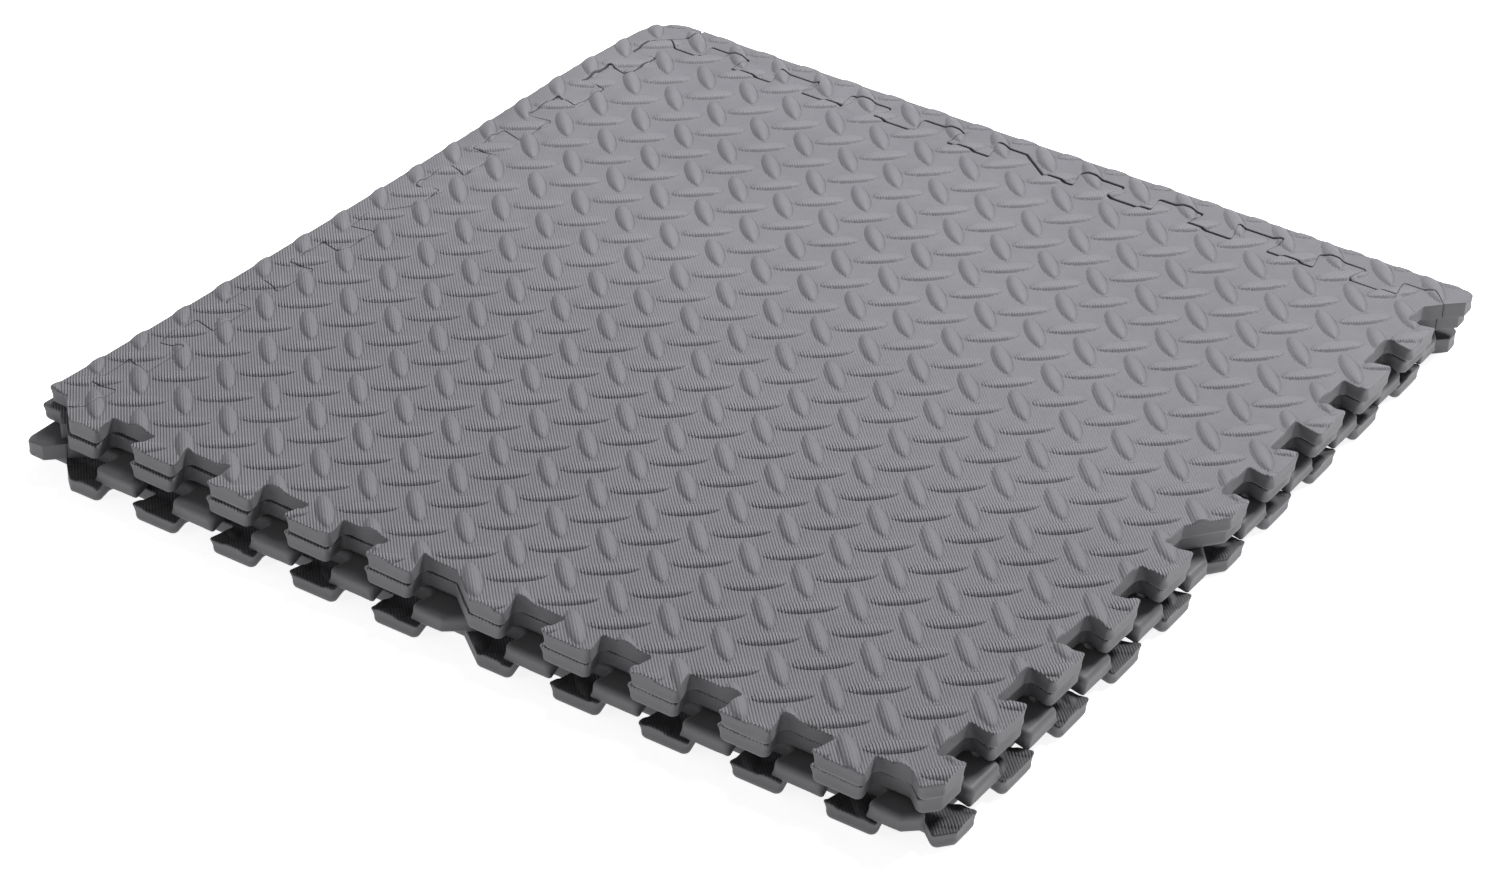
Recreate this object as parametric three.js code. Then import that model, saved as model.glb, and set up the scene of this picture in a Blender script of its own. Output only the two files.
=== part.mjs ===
// A stack of four interlocking foam floor mats, each with its two border
// strips still fitted. Millimetres, +Z up.
//
// Origin: on the surface the stack lies on, below the centre of the top mat.
// +X and +Y run along the top mat's edges. Its -Y and +X edges are free and
// show their dovetail teeth; border strips close its -X and +Y edges.
//
// Every mat is the same square with the same toothed edge on all four sides,
// so each side is the one before it turned by 90 degrees. Reading a side
// backwards swaps teeth and slots, which is why any two mats lock together
// and why a mat that is turned over shows a tooth wherever the others have
// a slot. The second mat from the bottom lies face down.

import * as THREE from 'three';

// ---- driving dimensions -------------------------------------------------
const TILE = 610;            // size of one mat along a row of joined mats (24 in)
const HALF = TILE / 2;
const THICK = 10.5;          // thickness of the foam up to the ribbed face; the lugs stand about 2 mm above it
const AIR = 0.3;             // air between one mat and the next
const TOOTH = 18;            // depth of a tooth, half of it each side of the joint line
const PITCH = 60.2;          // tooth to tooth along a side
const FLARE = 2.2;           // a dovetail tooth is wider at its tip by this much each side
const MID_RUN = 11.8;        // half length of the slanting step in the middle of a side
const FIRST_FLANK = 33.05;   // middle of the first dovetail flank, from the middle of a side
const CORNER_CUT = 10.5;     // the 45 degree cut at each corner of a mat
const BAND = 331;            // centre of a mat to the straight outer edge of its border
const CORNER_R = 28;         // outer corner of the corner border
const END_R = 8;             // outer corner at a border's free end
const FIT = 0.15;            // each cut edge stands back by this much from the joint line

// How each mat lies in the stack, from the bottom up: offset of its centre,
// turn about +Z in degrees, and whether it is turned over about the diagonal
// that runs from its bordered corner to its free corner.
const STACK = [
  { n: 4, mat: 'mat_4_bottom', dx: -1.3, dy: -3.3, turn: 1.45, over: false, colour: 0x3b3b3e },
  { n: 3, mat: 'mat_3_face_down', dx: -3.5, dy: 0.5, turn: 1.0, over: true, colour: 0x55555a },
  { n: 2, mat: 'mat_2', dx: -3.0, dy: 0.8, turn: 0.2, over: false, colour: 0x6a6a6e },
  { n: 1, mat: 'mat_1_top', dx: 0, dy: 0, turn: 0, over: false, colour: 0x8c8c90 },
];

// ---- the toothed side ---------------------------------------------------
// Points [s, w] along one side, s from -HALF to HALF, w out of the mat from
// the joint line.
function sideProfile() {
  const d = TOOTH / 2;
  const right = [];
  let tooth = true;
  for (let i = 0; i < 9; i++) {
    const s = FIRST_FLANK + (PITCH / 2) * i;
    if (tooth) right.push([s + FLARE, d], [s - FLARE, -d]);
    else right.push([s + FLARE, -d], [s - FLARE, d]);
    tooth = !tooth;
  }
  right.push([HALF - CORNER_CUT, -d], [HALF, 0]);
  const left = right.map(([s, w]) => [-s, -w]).reverse();
  return [...left, [-MID_RUN, -d], [MID_RUN, d], ...right];
}

// The sides in turn: -Y, +X, +Y, -X, each run anticlockwise.
const SIDES = [
  { ex: 1, ey: 0, ox: 0, oy: -1 },
  { ex: 0, ey: 1, ox: 1, oy: 0 },
  { ex: -1, ey: 0, ox: 0, oy: 1 },
  { ex: 0, ey: -1, ox: -1, oy: 0 },
];

function sidePoints(k) {
  const { ex, ey, ox, oy } = SIDES[k];
  return sideProfile().map(([s, w]) => [s * ex + (HALF + w) * ox, s * ey + (HALF + w) * oy]);
}

function matOutline() {
  const out = [];
  for (let k = 0; k < 4; k++) out.push(...sidePoints(k).slice(0, -1));
  return out;
}

// A quarter turn of radius r that rounds the corner at (cx, cy), from angle
// a0 to a1 in degrees, both about the arc's own centre.
function arc(cx, cy, r, a0, a1, steps) {
  const out = [];
  for (let i = 0; i <= steps; i++) {
    const a = ((a0 + ((a1 - a0) * i) / steps) * Math.PI) / 180;
    out.push([cx + r * Math.cos(a), cy + r * Math.sin(a)]);
  }
  return out;
}

// Border along +Y: it fills the slots of that side. One end is cut square
// beside the corner border, the other reaches past the mat's corner so that
// it locks with the next border along.
function edgeBorderOutline() {
  const c = HALF - CORNER_CUT;
  const end = HALF + CORNER_CUT;
  const side = sidePoints(2).reverse();          // from -X to +X
  return [
    ...side,                                     // (-HALF, HALF) ... (HALF, HALF)
    [end, end],
    ...arc(end - END_R, BAND - END_R, END_R, 0, 90, 3),
    [-c, BAND],
    [-c, end],
  ];
}

// Border along -X with the outer corner of the mat in one piece.
function cornerBorderOutline() {
  const c = HALF - CORNER_CUT;
  const end = HALF + CORNER_CUT;
  const side = sidePoints(3).reverse();          // from -Y to +Y
  return [
    ...side,                                     // (-HALF, -HALF) ... (-HALF, HALF)
    [-c, end],
    [-c, BAND],
    ...arc(-BAND + CORNER_R, BAND - CORNER_R, CORNER_R, 90, 180, 6),
    ...arc(-BAND + END_R, -c + END_R, END_R, 180, 270, 3),
    [-end, -c],
  ];
}

// ---- solids -------------------------------------------------------------
function area(p) {
  let a = 0;
  for (let i = 0; i < p.length; i++) {
    const q = p[(i + 1) % p.length];
    a += p[i][0] * q[1] - q[0] * p[i][1];
  }
  return a / 2;
}

// The outline moved inwards by t, corner by corner.
function inset(points, t) {
  const p = area(points) > 0 ? points : [...points].reverse();
  const n = p.length;
  const lines = p.map((a, i) => {
    const b = p[(i + 1) % n];
    const l = Math.hypot(b[0] - a[0], b[1] - a[1]);
    const nx = -(b[1] - a[1]) / l;
    const ny = (b[0] - a[0]) / l;
    return { nx, ny, c: nx * a[0] + ny * a[1] + t };
  });
  return p.map((_, i) => {
    const a = lines[(i + n - 1) % n];
    const b = lines[i];
    const det = a.nx * b.ny - b.nx * a.ny;
    return [(a.c * b.ny - b.c * a.ny) / det, (a.nx * b.c - b.nx * a.c) / det];
  });
}

function slab(outline) {
  const shape = new THREE.Shape(inset(outline, FIT).map(([x, y]) => new THREE.Vector2(x, y)));
  return new THREE.ExtrudeGeometry(shape, { depth: THICK, bevelEnabled: false, steps: 1 });
}

function piece(name, outline, colour) {
  const material = new THREE.MeshStandardMaterial({ color: colour, roughness: 0.85, metalness: 0 });
  const mesh = new THREE.Mesh(slab(outline), material);
  mesh.name = name;
  return mesh;
}

// ---- the stack ----------------------------------------------------------
const stack = new THREE.Group();
let z = 0;
for (const lay of STACK) {
  const set = new THREE.Group();
  set.add(piece(lay.mat, matOutline(), lay.colour));
  set.add(piece(`corner_border_${lay.n}`, cornerBorderOutline(), 0x7a6a58));
  set.add(piece(`edge_border_${lay.n}`, edgeBorderOutline(), 0x58707a));
  const spin = new THREE.Quaternion().setFromAxisAngle(new THREE.Vector3(0, 0, 1), (lay.turn * Math.PI) / 180);
  if (lay.over) {
    const flip = new THREE.Quaternion().setFromAxisAngle(new THREE.Vector3(1, -1, 0).normalize(), Math.PI);
    set.quaternion.copy(spin.multiply(flip));
  } else {
    set.quaternion.copy(spin);
  }
  set.position.set(lay.dx, lay.dy, lay.over ? z + THICK : z);
  stack.add(set);
  z += THICK + AIR;
}

export default stack;
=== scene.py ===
import math

import bpy
import numpy as np
from mathutils import Matrix, Quaternion, Vector
from mathutils.geometry import delaunay_2d_cdt


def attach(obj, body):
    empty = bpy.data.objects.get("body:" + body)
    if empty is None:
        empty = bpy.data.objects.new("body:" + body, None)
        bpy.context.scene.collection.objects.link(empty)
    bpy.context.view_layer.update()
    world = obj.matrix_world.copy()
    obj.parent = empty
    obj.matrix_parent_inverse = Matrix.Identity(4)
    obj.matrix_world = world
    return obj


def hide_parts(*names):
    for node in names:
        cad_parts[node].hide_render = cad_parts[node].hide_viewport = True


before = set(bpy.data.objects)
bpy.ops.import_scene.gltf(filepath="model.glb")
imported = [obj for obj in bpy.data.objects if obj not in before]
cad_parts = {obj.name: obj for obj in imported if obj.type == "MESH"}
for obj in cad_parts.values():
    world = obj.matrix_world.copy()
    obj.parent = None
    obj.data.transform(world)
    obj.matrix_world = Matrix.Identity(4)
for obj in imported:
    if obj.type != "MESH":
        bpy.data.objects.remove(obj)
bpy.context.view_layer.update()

# ------------------------------------------------------------------ sizes
# The same driving dimensions as the CAD part, in millimetres.
TILE = 610.0
HALF = TILE / 2
THICK = 10.5
AIR = 0.3
TOOTH = 18.0
PITCH = 60.2
FLARE = 2.2
MID_RUN = 11.8
FIRST_FLANK = 33.05
CORNER_CUT = 10.5
BAND = 331.0
CORNER_R = 33.0
END_R = 8.0
FIT = 0.15

# n, mat node, offset of the mat's centre, turn in degrees, turned over
STACK = [
    (4, "mat_4_bottom", -1.3, -3.3, 1.45, False),
    (3, "mat_3_face_down", -3.5, 0.5, 1.0, True),
    (2, "mat_2", -3.0, 0.8, 0.2, False),
    (1, "mat_1_top", 0.0, 0.0, 0.0, False),
]

# the moulded face
LUG_H = 2.2           # how far a lug stands above the ribbed face of the top mat
LUG_L = 17.4          # half its length
LUG_W = 5.8           # half its width
LUG_DX, LUG_DY = 36.4, 38.22      # lattice pitch
LUG_A = (0.7, 10.1)               # centre of one lug that leans like a backslash
LUG_B = (18.1, 28.8)              # centre of one lug that leans like a slash
RIB_ANGLE = 44.0                  # the ribs are counted along this direction
RIB_PITCH = 1.766




def smooth(a, lo, hi):
    t = np.clip((a - lo) / (hi - lo), 0, 1)
    return t * t * (3 - 2 * t)


# ---------------------------------------------------------------- outlines
def side_profile():
    d = TOOTH / 2
    right = []
    tooth = True
    for i in range(9):
        s = FIRST_FLANK + PITCH / 2 * i
        right += [(s + FLARE, d), (s - FLARE, -d)] if tooth else [(s + FLARE, -d), (s - FLARE, d)]
        tooth = not tooth
    right += [(HALF - CORNER_CUT, -d), (HALF, 0.0)]
    left = [(-s, -w) for s, w in right][::-1]
    return left + [(-MID_RUN, -d), (MID_RUN, d)] + right


SIDES = [(1, 0, 0, -1), (0, 1, 1, 0), (-1, 0, 0, 1), (0, -1, -1, 0)]
R_TIP, R_BASE, R_CORNER = 1.9, 1.5, 2.0


def side_points(k):
    """x, y, fillet radius of each corner along one side of a mat."""
    ex, ey, ox, oy = SIDES[k]
    out = []
    for s, w in side_profile():
        r = R_TIP if w > 1 else R_BASE if w < -1 else R_CORNER if (k, s < 0) in ((0, False), (1, True)) else 0.3
        out.append((s * ex + (HALF + w) * ox, s * ey + (HALF + w) * oy, r))
    return out


def mat_corners():
    """Corners with fillet radius and whether the side that starts there meets a border."""
    out = []
    for k in range(4):
        out += [(x, y, r, k >= 2) for x, y, r in side_points(k)[:-1]]
    return out


def edge_border_corners():
    c, end = HALF - CORNER_CUT, HALF + CORNER_CUT
    side = [(x, y, r, True) for x, y, r in side_points(2)[::-1]]
    return side + [
        (end, end, 1.0, False),
        (end, BAND, 9.0, False),
        (-c, BAND, 1.2, True),
        (-c, end, 0.8, True),
    ]


def corner_border_corners():
    c, end = HALF - CORNER_CUT, HALF + CORNER_CUT
    side = [(x, y, r, True) for x, y, r in side_points(3)[::-1]]
    return side + [
        (-c, end, 0.8, True),
        (-c, BAND, 1.2, False),
        (-BAND, BAND, CORNER_R, False),
        (-BAND, -c, 3.0, False),
        (-end, -c, 1.0, False),
    ]


def rounded(corners, step=1.9, grow=2.4):
    """Dense closed curves round the corners, anticlockwise, for the moulded face and for the underside, whose
    free corners are rounded more. Each is points, outward normals and how much its edge may be rounded."""
    c = [np.array(p[:2], float) for p in corners]
    n = len(c)
    area = sum(c[i][0] * c[(i + 1) % n][1] - c[(i + 1) % n][0] * c[i][1] for i in range(n))
    rad = [p[2] for p in corners]
    seam = [p[3] for p in corners]
    if area < 0:
        c = c[::-1]
        rad = rad[::-1]
        seam = seam[::-1]
        seam = seam[1:] + seam[:1]

    def arcs(more):
        out = []
        for i in range(n):
            a, b, d = c[i - 1], c[i], c[(i + 1) % n]
            u = (b - a) / np.linalg.norm(b - a)
            v = (d - b) / np.linalg.norm(d - b)
            turn = math.atan2(u[0] * v[1] - u[1] * v[0], float(u @ v))
            r = rad[i] + (0 if seam[i] or seam[i - 1] else more)
            # the one large corner may use nearly the whole of its short side
            share = 0.93 if r > 20 else 0.45
            t = min(r * math.tan(abs(turn) / 2), share * min(np.linalg.norm(b - a), np.linalg.norm(d - b)))
            out.append((b, u, v, turn, t, t / max(math.tan(abs(turn) / 2), 1e-9)))
        return out

    face, under = arcs(0.0), arcs(grow)
    loops = [([], [], []), ([], [], [])]
    flag = []
    for i in range(n):
        turn = face[i][3]
        k = max(2, int(math.ceil(abs(turn) * under[i][5] / 1.2)))
        e = c[(i + 1) % n]
        span = np.linalg.norm(e - c[i]) - face[i][4] - face[(i + 1) % n][4]
        m = max(1, int(round(span / step)))
        for which, arc in enumerate((face, under)):
            pts, nor, room = loops[which]
            b, u, v, turn, t, r = arc[i]
            # an edge can't be rounded by more than its own corner allows
            most = max(0.9 * (r - FIT), 0.12) if turn > 0.02 else 9.0
            for j in range(k + 1):
                a = turn * j / k
                ca, sa = math.cos(a), math.sin(a)
                w = np.array([u[0] * ca - u[1] * sa, u[0] * sa + u[1] * ca])
                out = np.array([w[1], -w[0]])
                centre = b - u * t + np.array([-u[1], u[0]]) * (r if turn > 0 else -r)
                pts.append(centre + out * (r if turn > 0 else -r))
                nor.append(out)
                room.append(most)
            start, stop = b + v * t, e - v * arc[(i + 1) % n][4]
            out = np.array([v[1], -v[0]])
            for j in range(1, m):
                pts.append(start + (stop - start) * j / m)
                nor.append(out)
                room.append(9.0)
        flag += [seam[i]] * (k + m)
    p = np.array(loops[0][0])
    keep = np.linalg.norm(p - np.roll(p, 1, 0), axis=1) > 0.05
    out = []
    for pts, nor, room in loops:
        pts, nor = np.array(pts), np.array(nor)
        out.append((pts[keep] - nor[keep] * FIT, nor[keep], np.array(room)[keep]))
    return out[0], out[1], np.array(flag, float)[keep]


def along(values, how):
    """Smooth (or take the least of) the values near each point of a closed curve."""
    wide = np.r_[values[-6:], values, values[:6]]
    if how == "least":
        return np.array([wide[i:i + 13].min() for i in range(len(values))])
    k = np.hanning(15)[1:-1]
    return np.convolve(wide, k / k.sum(), "valid")


# ------------------------------------------------------------------- lugs
def lug_frames():
    """Centre and long axis of every lug that can reach a mat or its borders."""
    out = []
    for (x0, y0), ang in ((LUG_A, 135.0), (LUG_B, 45.0)):
        for i in range(-10, 11):
            for j in range(-10, 11):
                x, y = x0 + i * LUG_DX, y0 + j * LUG_DY
                if abs(x) < BAND + 20 and abs(y) < BAND + 20:
                    out.append((x, y, ang))
    return out


def drift(x, y):
    """The moulded lattice isn't quite square to the cut edges: how far it has moved at a place."""
    a, b = x / 300, y / 300
    sx = 5.2 + 1.1 * a + 0.82 * b - 1.31 * a * a - 2.93 * a * b - 3.97 * b * b
    sy = -7.07 - 1.69 * a + 0.48 * b + 1.43 * a * a + 4.25 * a * b + 5.35 * b * b
    return sx, sy


def half_width(u):
    return LUG_W * np.clip(1 - np.abs(u) ** 2.2, 0, 1) ** 0.52


def relief(x, y):
    """Height above the face between the lugs from 0 to 1, the same for the backslash lugs alone, and 1 along a lug's foot."""
    # the lugs run out towards the rounded outer edge of a border
    fade = 0.55 + 0.45 * smooth(BAND - np.maximum(-x, y), 0.5, 12)
    sx, sy = drift(x, y)
    x, y = x - sx, y - sy
    h, back, foot = np.zeros_like(x), np.zeros_like(x), np.zeros_like(x)
    for (x0, y0), ang in ((LUG_A, 135.0), (LUG_B, 45.0)):
        ca, sa = math.cos(math.radians(ang)), math.sin(math.radians(ang))
        # a lug reaches less than one lattice step, so look at the nearest four centres
        fx, fy = np.floor((x - x0) / LUG_DX), np.floor((y - y0) / LUG_DY)
        for i in (0, 1):
            for j in (0, 1):
                dx = x - (x0 + (fx + i) * LUG_DX)
                dy = y - (y0 + (fy + j) * LUG_DY)
                u = (dx * ca + dy * sa) / LUG_L
                w = -dx * sa + dy * ca
                hw = half_width(u)
                v = np.where(hw > 1e-6, np.abs(w) / np.maximum(hw, 1e-6), 9.0)
                inside = (np.abs(u) < 1) & (v < 1)
                uu, vv = np.clip(np.abs(u), 0, 1), np.clip(v, 0, 1)
                # a narrow flat crown, straight flanks and a crisp foot
                knee = 0.35 if ang > 90 else 0.68
                dome = (1 - uu ** 3.6) ** 0.8 * (1 - 0.10 * vv - 0.90 * np.clip((vv - knee) / (1 - knee), 0, 1) ** 1.2)
                # the slash lugs are the flatter ones
                dome = np.where(inside, dome, 0) * fade * (1.1 if ang > 90 else 0.78)
                h = np.maximum(h, dome)
                if ang > 90:
                    back = np.maximum(back, dome)
                line = np.clip(1 - np.abs(np.abs(w) - hw) / 0.6, 0, 1) * (np.abs(u) <= 1.001)
                foot = np.maximum(foot, line)
    return h, back, foot


def lug_points():
    us = [0, 0.28, 0.53, 0.74, 0.89, 0.97]
    local = []
    for u in us:
        hw = float(half_width(np.array(u)))
        for s in (1, -1) if u else (1,):
            for v in (0.0, 0.35, -0.35, 0.67, -0.67, 0.85, -0.85, 1.0, -1.0):
                local.append((s * u * LUG_L, v * hw))
            for v in (1, -1):
                local.append((s * u * LUG_L, v * (hw + 0.6)))
    for s in (1, -1):
        local += [(s * LUG_L, 0.0), (s * (LUG_L + 0.6), 0.0)]
    local = np.array(local)
    out = []
    for x, y, ang in lug_frames():
        ca, sa = math.cos(math.radians(ang)), math.sin(math.radians(ang))
        out.append(np.c_[x + local[:, 0] * ca - local[:, 1] * sa, y + local[:, 0] * sa + local[:, 1] * ca])
    flat = np.concatenate(out)
    q = flat
    for _ in range(3):
        q = flat + np.stack(drift(q[:, 0], q[:, 1]), 1)
    return q


def inside_polygon(q, poly, near):
    """Which points lie inside poly and at least near from it."""
    out = np.zeros(len(q), bool)
    a, b = poly, np.roll(poly, -1, 0)
    d = b - a
    ll = (d ** 2).sum(1)
    for i in range(0, len(q), 2000):
        p = q[i:i + 2000]
        x, y = p[:, 0:1], p[:, 1:2]
        cross = (a[:, 1] > y) != (b[:, 1] > y)
        with np.errstate(divide="ignore", invalid="ignore"):
            at = a[:, 0] + (y - a[:, 1]) / (b[:, 1] - a[:, 1]) * d[:, 0]
        odd = (cross & (x < at)).sum(1) % 2 == 1
        t = np.clip(((x - a[:, 0]) * d[:, 0] + (y - a[:, 1]) * d[:, 1]) / ll, 0, 1)
        dist = (x - a[:, 0] - t * d[:, 0]) ** 2 + (y - a[:, 1] - t * d[:, 1]) ** 2
        out[i:i + 2000] = odd & (dist.min(1) > near * near)
    return out


def cdt(loop, interior):
    """Triangles over loop (the first points) and interior points."""
    pts = [Vector(map(float, p)) for p in np.concatenate([loop, interior])]
    m = len(loop)
    v, e, f, ov, oe, of_ = delaunay_2d_cdt(pts, [], [list(range(m))], 1, 1e-5)
    index = np.array([o[0] if o else -1 for o in ov])
    if (index < 0).any():
        raise RuntimeError(f"the outline crosses itself near {[tuple(v[k]) for k in np.where(index < 0)[0][:4]]}")
    tri = index[np.array([t[:] for t in f])]
    return tri


# ------------------------------------------------------------ slab meshes
def face_height(n, x, y, h):
    """Height of the moulded face of layer n. Foam under foam has its lugs pressed down, most of all near the edges."""
    if n == 1:
        return THICK + LUG_H * h
    rim = smooth(np.maximum(np.abs(x), np.abs(y)), 266, 281)
    if n == 2:
        return THICK - 0.5 * (1 - rim) + h * (1.3 - 1.05 * rim)
    if n == 3:
        return THICK - 1.2 * (1 - rim) + h * (1.0 - 0.75 * rim)
    bare = smooth(np.maximum(-y, x), 299, 302)
    return THICK - 0.6 * (1 - rim) + h * ((1.0 - 0.75 * rim) * (1 - bare) + 1.6 * bare)


def under_height(n, x, y):
    """The top mat's underside has taken up the lugs of the mat below it."""
    if n == 1:
        return 0.8 * (1 - smooth(np.maximum(np.abs(x), np.abs(y)), 283, 298))
    return np.zeros_like(x)


def slab(corners, free_top=0.9, seam_top=0.8, free_low=2.7, seam_low=0.5, pinch=0.28):
    """Vertices (mm), triangles, quads, and for each vertex how its height comes from the face and the underside."""
    (p, nrm, most), (pb, nb, most_b), seam = rounded(corners)
    m = len(p)
    # radii run smoothly from the free edge to the seam
    s = along(seam, "mean")
    rt = along(along(np.minimum(free_top + (seam_top - free_top) * seam, most), "least"), "mean")
    rb = along(along(np.minimum(free_low + (seam_low - free_low) * seam, most_b), "least"), "mean")
    pin = pinch * (1 - s) + 0.05 * s
    xy, c0, ct, cu, hh, hb, hf = [], [], [], [], [], [], []
    none = (0, 0, 0)

    def add(q, own, face, under, h):
        k = len(q)
        xy.append(q)
        for store, value in ((c0, own), (ct, face), (cu, under), (hh, h[0]), (hb, h[1]), (hf, h[2])):
            store.append(np.broadcast_to(np.asarray(value, float), (k,)).copy())

    for a in (0, 22, 45, 67, 90):
        a = math.radians(a)
        add(pb - nb * (rb * (1 - math.sin(a)))[:, None], rb * (1 - math.cos(a)), 0, 0, none)
    hp = relief(p[:, 0], p[:, 1])
    for t, f in ((0.22, 0.8), (0.5, 1.0), (0.78, 0.7)):
        e = t ** 1.3
        q = (pb - nb * (pin * f)[:, None]) * (1 - e) + (p - nrm * (pin * f)[:, None]) * e
        add(q, rb * (1 - t) - rt * t, t, 0, hp)
    for a in (0, 30, 60, 90):
        a = math.radians(a)
        q = p - nrm * (rt * (1 - math.cos(a)))[:, None]
        add(q, -rt * (1 - math.sin(a)), 1, 0, relief(q[:, 0], q[:, 1]))
    nr = len(xy)
    i = np.arange(m)
    j = (i + 1) % m
    quads = np.concatenate([np.c_[r * m + i, r * m + j, (r + 1) * m + j, (r + 1) * m + i] for r in range(nr - 1)])
    wall_of = np.repeat(np.arange(nr - 1), m)

    # moulded face
    loop = xy[-1]
    pts = LUGS
    lo, hi = loop.min(0), loop.max(0)
    pts = pts[((pts > lo) & (pts < hi)).all(1)]
    deep = (np.abs(pts) < HALF - TOOTH / 2 - 3).all(1) if corners is MAT else np.zeros(len(pts), bool)
    keep = deep.copy()
    keep[~deep] = inside_polygon(pts[~deep], loop, 0.55)
    pts = pts[keep]
    n0 = nr * m
    top_tri = np.r_[(nr - 1) * m + i, n0 + np.arange(len(pts))][cdt(loop, pts)]
    add(pts, 0, 1, 0, relief(pts[:, 0], pts[:, 1]))
    n1 = n0 + len(pts)

    # underside
    loop = xy[0]
    g = np.arange(-330.0, 331.0, 15.0)
    gx, gy = np.meshgrid(g, g)
    pts = np.c_[gx.ravel() + 0.37, gy.ravel() + 0.29]
    pts = pts[inside_polygon(pts, loop, 2.0)]
    low_tri = np.r_[i, n1 + np.arange(len(pts))][cdt(loop, pts)][:, ::-1]
    add(pts, 0, 0, 1, none)

    xy, c0, ct, cu, hh, hb, hf = (np.concatenate(q) for q in (xy, c0, ct, cu, hh, hb, hf))
    return {
        "xy": xy, "own": c0, "face": ct, "under": cu, "relief": hh, "back": hb, "foot": hf,
        "quads": quads, "wall_of": wall_of, "rings": nr, "top": top_tri, "low": low_tri,
    }


def warp(x, y):
    """How far the stack's foam lies above flat, in mm, at a place in the row frame."""
    return 2.6 * smooth(-x, 215, 325) * np.exp(-(((y - 170) / 150) ** 2))


def make_piece(name, shape, place, mats, n, bend=None):
    x, y = shape["xy"].T
    z = shape["own"] + shape["face"] * face_height(n, x, y, shape["relief"]) + shape["under"] * under_height(n, x, y)
    v = np.c_[x, y, z]
    if bend is not None:
        v = bend(v)
    world = np.array(place.to_3x3()) @ v.T
    off = np.array(place.translation) * 1000
    w = world.T + off
    dz = warp(w[:, 0], w[:, 1]) + layer_warp(n, w[:, 0], w[:, 1])
    up = np.array(place.to_3x3())[2, 2]
    v[:, 2] += dz * up
    v /= 1000.0
    nt, nl, nq = len(shape["top"]), len(shape["low"]), len(shape["quads"])
    me = bpy.data.meshes.new(name)
    me.vertices.add(len(v))
    me.vertices.foreach_set("co", v.astype(np.float32).ravel())
    loops = np.concatenate([shape["quads"].ravel(), shape["top"].ravel(), shape["low"].ravel()]).astype(np.int32)
    starts = np.concatenate([
        np.arange(nq) * 4,
        nq * 4 + np.arange(nt) * 3,
        nq * 4 + nt * 3 + np.arange(nl) * 3,
    ]).astype(np.int32)
    me.loops.add(len(loops))
    me.loops.foreach_set("vertex_index", loops)
    me.polygons.add(nq + nt + nl)
    me.polygons.foreach_set("loop_start", starts)
    nr = shape["rings"]
    # the rounding of the top edge belongs to the moulded skin
    wall = np.where(shape["wall_of"] >= nr - 4, 0, 1)
    wall = np.where(shape["wall_of"] < 2, 2, wall)
    index = np.concatenate([wall, np.zeros(nt, int), np.full(nl, 2)]).astype(np.int32)
    me.polygons.foreach_set("material_index", index)
    me.polygons.foreach_set("use_smooth", np.ones(nq + nt + nl, bool))
    for m in mats:
        me.materials.append(m)
    # painted shade: marks the bottom mat's teeth that lie under the overhang of the mats above
    overhang_shade = smooth(np.maximum(-y, x), 294, 298) if n == 4 else np.zeros(len(x))
    for key, value in (("relief", shape["relief"]), ("back", shape["back"]), ("foot", shape["foot"]), ("overhang_shade", overhang_shade)):
        a = me.attributes.new(key, "FLOAT", "POINT")
        a.data.foreach_set("value", value.astype(np.float32))
    me.update(calc_edges=True)
    me.validate()
    ob = bpy.data.objects.new(name, me)
    bpy.context.scene.collection.objects.link(ob)
    ob.matrix_world = place
    return ob


def layer_warp(n, x, y):
    """Extra lift of one layer, in mm, where the foam doesn't lie quite flat on the one below."""
    if n == 1:
        # the top mat's free front edge stands off a little towards the left corner
        return 0.9 * smooth(-y, 240, 315) * smooth(-x, -80, 220)
    return np.zeros_like(x)


# -------------------------------------------------------------- materials
def nodes_of(name):
    m = bpy.data.materials.new(name)
    m.use_nodes = True
    nt = m.node_tree
    nt.nodes.clear()
    out = nt.nodes.new("ShaderNodeOutputMaterial")
    bsdf = nt.nodes.new("ShaderNodeBsdfPrincipled")
    nt.links.new(bsdf.outputs["BSDF"], out.inputs["Surface"])
    return m, nt, bsdf


def math_node(nt, op, a, b=None, c=None):
    n = nt.nodes.new("ShaderNodeMath")
    n.operation = op
    for i, v in enumerate((a, b, c)):
        if v is None:
            continue
        if isinstance(v, (int, float)):
            n.inputs[i].default_value = v
        else:
            nt.links.new(v, n.inputs[i])
    return n.outputs[0]


def noise(nt, vec, scale, detail=2.0, rough=0.5):
    n = nt.nodes.new("ShaderNodeTexNoise")
    n.inputs["Scale"].default_value = scale
    n.inputs["Detail"].default_value = detail
    n.inputs["Roughness"].default_value = rough
    nt.links.new(vec, n.inputs["Vector"])
    return n.outputs["Fac"]


def ramp(nt, fac, stops):
    r = nt.nodes.new("ShaderNodeValToRGB")
    e = r.color_ramp.elements
    e[0].position, e[0].color = stops[0][0], (*stops[0][1], 1)
    e[1].position, e[1].color = stops[-1][0], (*stops[-1][1], 1)
    for p, c in stops[1:-1]:
        k = e.new(p)
        k.color = (*c, 1)
    nt.links.new(fac, r.inputs["Fac"])
    return r.outputs["Color"]


def attribute(nt, key):
    n = nt.nodes.new("ShaderNodeAttribute")
    n.attribute_name = key
    return n.outputs["Fac"]


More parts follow.
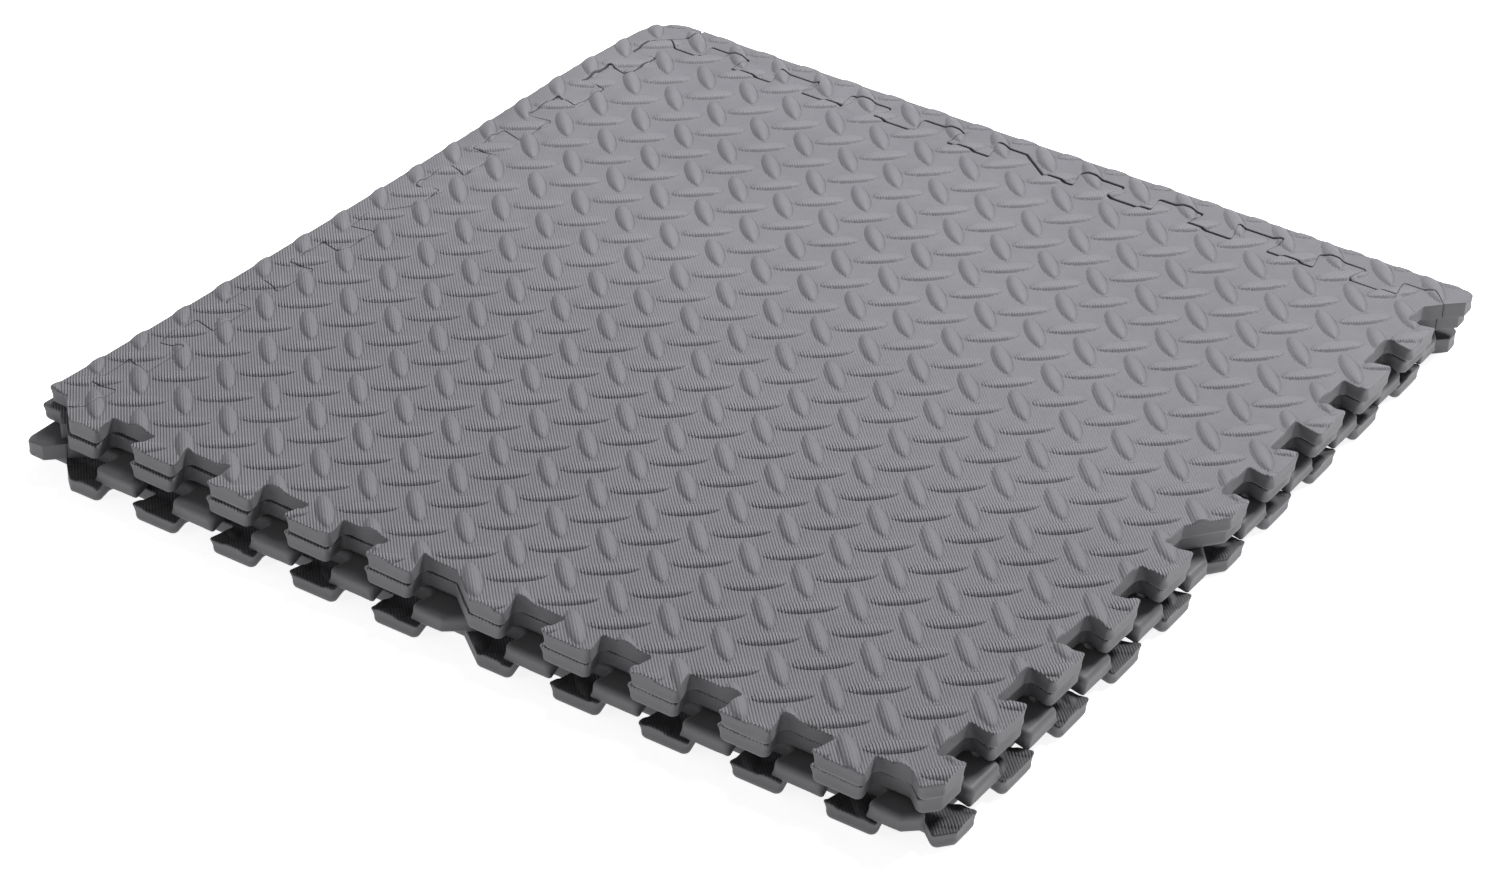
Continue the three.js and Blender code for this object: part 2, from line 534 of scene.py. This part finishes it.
def foam(name, kind, tone):
    """EVA foam. kind is face (moulded, ribbed), wall (cut) or under (smooth)."""
    m, nt, bsdf = nodes_of(name)
    tc = nt.nodes.new("ShaderNodeTexCoord")
    vec = tc.outputs["Object"]
    big = noise(nt, vec, 7.0, 3.0)
    mid = noise(nt, vec, 90.0, 3.0)
    fine = noise(nt, vec, 1400.0, 2.0, 0.6)
    mix = math_node(nt, "MULTIPLY_ADD", big, 0.45, math_node(nt, "MULTIPLY_ADD", mid, 0.3, math_node(nt, "MULTIPLY", fine, 0.25)))
    r, g, b = tone
    colour = ramp(nt, mix, [
        (0.36, (r * 0.90, g * 0.90, b * 0.90)),
        (0.5, (r, g, b)),
        (0.64, (r * 1.10, g * 1.10, b * 1.09)),
    ])
    height = None
    if kind == "face":
        rel, back, foot = (attribute(nt, key) for key in ("relief", "back", "foot"))
        # the lugs' crowns are paler, partly rubbed wear and partly a painted highlight
        rub_and_highlight = nt.nodes.new("ShaderNodeMix")
        rub_and_highlight.data_type = "RGBA"
        nt.links.new(math_node(nt, "MULTIPLY_ADD", rel, 0.44, math_node(nt, "MULTIPLY", back, -0.22)), rub_and_highlight.inputs["Factor"])
        nt.links.new(colour, rub_and_highlight.inputs["A"])
        rub_and_highlight.inputs["B"].default_value = (r * 1.35, g * 1.35, b * 1.33, 1)
        colour = rub_and_highlight.outputs["Result"]
        xyz = nt.nodes.new("ShaderNodeSeparateXYZ")
        nt.links.new(vec, xyz.inputs[0])
        # the ribs are worn down towards one side of the mats
        worn = nt.nodes.new("ShaderNodeMapRange")
        worn.interpolation_type = "SMOOTHSTEP"
        for key, value in (("From Min", -0.12), ("From Max", 0.13), ("To Min", 0.85), ("To Max", 0.16)):
            worn.inputs[key].default_value = value
        nt.links.new(xyz.outputs[1], worn.inputs["Value"])
        a = math.radians(RIB_ANGLE)
        along = math_node(nt, "ADD", math_node(nt, "MULTIPLY", xyz.outputs[0], math.cos(a)), math_node(nt, "MULTIPLY", xyz.outputs[1], math.sin(a)))
        phase = math_node(nt, "MULTIPLY", along, 2 * math.pi / (RIB_PITCH / 1000))
        rib = math_node(nt, "SINE", phase)
        # rounded ribs with narrow valleys between them
        rib = math_node(nt, "POWER", math_node(nt, "MULTIPLY_ADD", rib, 0.5, 0.5), 0.7)
        # the ribs are faint along the backslash lugs and bold across the others
        on_back = math_node(nt, "MINIMUM", math_node(nt, "MULTIPLY", back, 5.0), 1.0)
        on_lug = math_node(nt, "MINIMUM", math_node(nt, "MULTIPLY", rel, 5.0), 1.0)
        bold = math_node(nt, "MULTIPLY_ADD", on_back, -1.20, math_node(nt, "MULTIPLY_ADD", on_lug, 0.60, 1.0))
        # the ribs are made fainter on those shaded teeth, in the bump and in their painted shade
        overhang_shade = attribute(nt, "overhang_shade")
        bold = math_node(nt, "MULTIPLY", bold, math_node(nt, "MULTIPLY_ADD", overhang_shade, -0.55, 1.0))
        rib = math_node(nt, "MULTIPLY", math_node(nt, "MULTIPLY", rib, bold), worn.outputs["Result"])
        height = math_node(nt, "MULTIPLY_ADD", rib, 1.0, math_node(nt, "MULTIPLY", fine, 0.35))
        # the ribs are painted into the colour as well: painted shade in their valleys, painted highlight on their
        # crests
        groove = nt.nodes.new("ShaderNodeMix")
        groove.data_type = "RGBA"
        groove.blend_type = "MULTIPLY"
        groove.inputs["Factor"].default_value = 1.0
        shade = math_node(nt, "MULTIPLY_ADD", rib, 0.34, math_node(nt, "MULTIPLY_ADD", worn.outputs["Result"], -0.13, math_node(nt, "MULTIPLY_ADD", on_back, 0.0, 0.92)))
        # painted shade on the teeth of the bottom mat, where the mats above overhang them
        shade = math_node(nt, "MULTIPLY", shade, math_node(nt, "MULTIPLY_ADD", overhang_shade, -0.62, 1.0))
        # painted shade along the foot of each lug, in the crease where it meets the face
        shade = math_node(nt, "MULTIPLY", shade, math_node(nt, "MULTIPLY_ADD", foot, -0.48, 1.0))
        comb = nt.nodes.new("ShaderNodeCombineColor")
        for i in range(3):
            nt.links.new(shade, comb.inputs[i])
        nt.links.new(colour, groove.inputs["A"])
        nt.links.new(comb.outputs[0], groove.inputs["B"])
        colour = groove.outputs["Result"]
    elif kind == "wall":
        vor = nt.nodes.new("ShaderNodeTexVoronoi")
        vor.inputs["Scale"].default_value = 1100.0
        nt.links.new(vec, vor.inputs["Vector"])
        height = math_node(nt, "MULTIPLY_ADD", vor.outputs["Distance"], 0.7, math_node(nt, "MULTIPLY", mid, 0.6))
    else:
        height = math_node(nt, "MULTIPLY_ADD", fine, 0.6, math_node(nt, "MULTIPLY", mid, 0.5))
    bump = nt.nodes.new("ShaderNodeBump")
    bump.inputs["Strength"].default_value = {"face": 1.0, "wall": 0.35, "under": 0.3}[kind]
    bump.inputs["Distance"].default_value = {"face": 0.0005, "wall": 0.0002, "under": 0.0002}[kind]
    nt.links.new(height, bump.inputs["Height"])
    nt.links.new(bump.outputs[0], bsdf.inputs["Normal"])
    nt.links.new(colour, bsdf.inputs["Base Color"])
    lo, hi = {"face": (0.5, 0.66), "wall": (0.62, 0.8), "under": (0.48, 0.64)}[kind]
    rough = math_node(nt, "MULTIPLY_ADD", math_node(nt, "MULTIPLY_ADD", mid, 0.6, math_node(nt, "MULTIPLY", big, 0.4)), hi - lo, lo)
    nt.links.new(rough, bsdf.inputs["Roughness"])
    bsdf.inputs["Specular IOR Level"].default_value = 0.4
    bsdf.inputs["Sheen Weight"].default_value = 0.12
    bsdf.inputs["Sheen Roughness"].default_value = 0.45
    return m


TONE = (0.152, 0.1505, 0.166)
MATS = [
    foam("eva_face", "face", TONE),
    # the cut walls are toned darker than the moulded face, a painted shade on the mats' sides; the underside shares
    # that tone
    foam("eva_wall", "wall", (0.118, 0.117, 0.124)),
    foam("eva_under", "under", (0.118, 0.117, 0.124)),
]

# ------------------------------------------------------------- the pieces
MAT = mat_corners()
LUGS = lug_points()
SHAPES = {
    "mat": slab(MAT),
    "corner": slab(corner_border_corners(), free_top=1.9),
    "edge": slab(edge_border_corners(), free_top=1.9),
}
# the mat that lies face down and the one on the floor show the softer rounding of their undersides
SOFT = {
    "mat": slab(MAT, free_low=3.6),
    "corner": slab(corner_border_corners(), free_low=3.6),
    "edge": slab(edge_border_corners(), free_low=3.6),
}


def eased_out(v):
    """The top edge border has crept out of its mat a little along the middle."""
    v = v.copy()
    v[:, 1] += (1.0 + 0.8 * np.exp(-(((v[:, 0] - 60) / 150) ** 2))) * (1 - 0.8 * smooth(v[:, 0], 200, 290))
    return v


def crept_out(v):
    """The top corner border stands off the mat a little at the corner."""
    v = v.copy()
    t = smooth(v[:, 1], 150, 280)
    v[:, 2] += 2.0 * np.exp(-(((v[:, 1] - 225) / 70) ** 2)) * smooth(-v[:, 0], 295, 330)
    v[:, 0] -= 1.0 * t
    v[:, 1] += 0.4 * t
    return v


def poked_out(v):
    """The second mat's corner border has slid a little past the corner at its free end."""
    v = v.copy()
    t = smooth(-v[:, 1], 258, 290)
    v[:, 0] -= 2.2 * t
    v[:, 1] -= 3.0 * t
    return v


z = 0.0
for n, mat, dx, dy, turn, over in STACK:
    place = Matrix.Translation(Vector((dx, dy, z + (THICK if over else 0))) / 1000) @ Matrix.Rotation(math.radians(turn), 4, "Z")
    if over:
        place = place @ Matrix.Rotation(math.pi, 4, Vector((1, -1, 0)).normalized())
    for node, shape in ((mat, "mat"), (f"corner_border_{n}", "corner"), (f"edge_border_{n}", "edge")):
        bend = {"edge_border_1": eased_out, "corner_border_1": crept_out, "corner_border_2": poked_out}.get(node)
        ob = make_piece("foam_" + node, (SOFT if over or n == 4 else SHAPES)[shape], place, MATS, n, bend)
        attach(ob, node)
        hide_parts(node)
    z += THICK + AIR
TOP = (z - AIR) / 1000

# ---------------------------------------------------- floor, light, camera
floor_mesh = bpy.data.meshes.new("floor")
s = 6.0
floor_mesh.from_pydata([(-s, -s, 0), (s, -s, 0), (s, s, 0), (-s, s, 0)], [], [(0, 1, 2, 3)])
floor = bpy.data.objects.new("floor", floor_mesh)
bpy.context.scene.collection.objects.link(floor)
fm, fnt, fb = nodes_of("floor_paper")
fb.inputs["Base Color"].default_value = (0.86, 0.86, 0.87, 1)
fb.inputs["Roughness"].default_value = 0.9
fb.inputs["Emission Color"].default_value = (1, 1, 1, 1)
fb.inputs["Emission Strength"].default_value = 0.8
floor_mesh.materials.append(fm)

world = bpy.data.worlds.new("studio")
bpy.context.scene.world = world
world.use_nodes = True
world.node_tree.nodes["Background"].inputs["Color"].default_value = (1, 1, 1, 1)
world.node_tree.nodes["Background"].inputs["Strength"].default_value = 0.2


def area(name, at, to, size, power, size_y=None):
    l = bpy.data.lights.new(name, "AREA")
    l.energy = power
    l.size = size
    if size_y:
        l.shape = "RECTANGLE"
        l.size_y = size_y
    o = bpy.data.objects.new(name, l)
    bpy.context.scene.collection.objects.link(o)
    o.location = at
    o.rotation_mode = "QUATERNION"
    o.rotation_quaternion = (Vector(to) - Vector(at)).to_track_quat("-Z", "Y")
    return o


area("softbox", (0.78, 1.65, 2.1), (-0.05, 0.0, 0), 0.8, 84, 0.5)
area("fill_top", (-0.5, 0.68, 1.2), (-0.1, 0, 0), 0.6, 13, 0.4)
area("fill_front", (-1.0, -2.0, 0.4), (-0.1, 0, 0), 0.8, 5.5)
bpy.context.scene.view_settings.view_transform = "Standard"

cam_data = bpy.data.cameras.new("camera")
cam_data.sensor_width = 36.0
cam_data.lens = 3642.1 / 1500 * 36
cam_data.clip_start, cam_data.clip_end = 0.05, 50
cam = bpy.data.objects.new("camera", cam_data)
bpy.context.scene.collection.objects.link(cam)
right = Vector((0.81599155, 0.57783823, 0.01614807))
down = Vector((0.32615326, -0.4371527, -0.8381656))
fwd = Vector((-0.47726496, 0.68920279, -0.54517673))
rot = Matrix((right, -down, -fwd)).transposed()
cam.matrix_world = Matrix.Translation((1.07735, -1.58133, 1.18167 + TOP)) @ rot.to_4x4()
bpy.context.scene.camera = cam
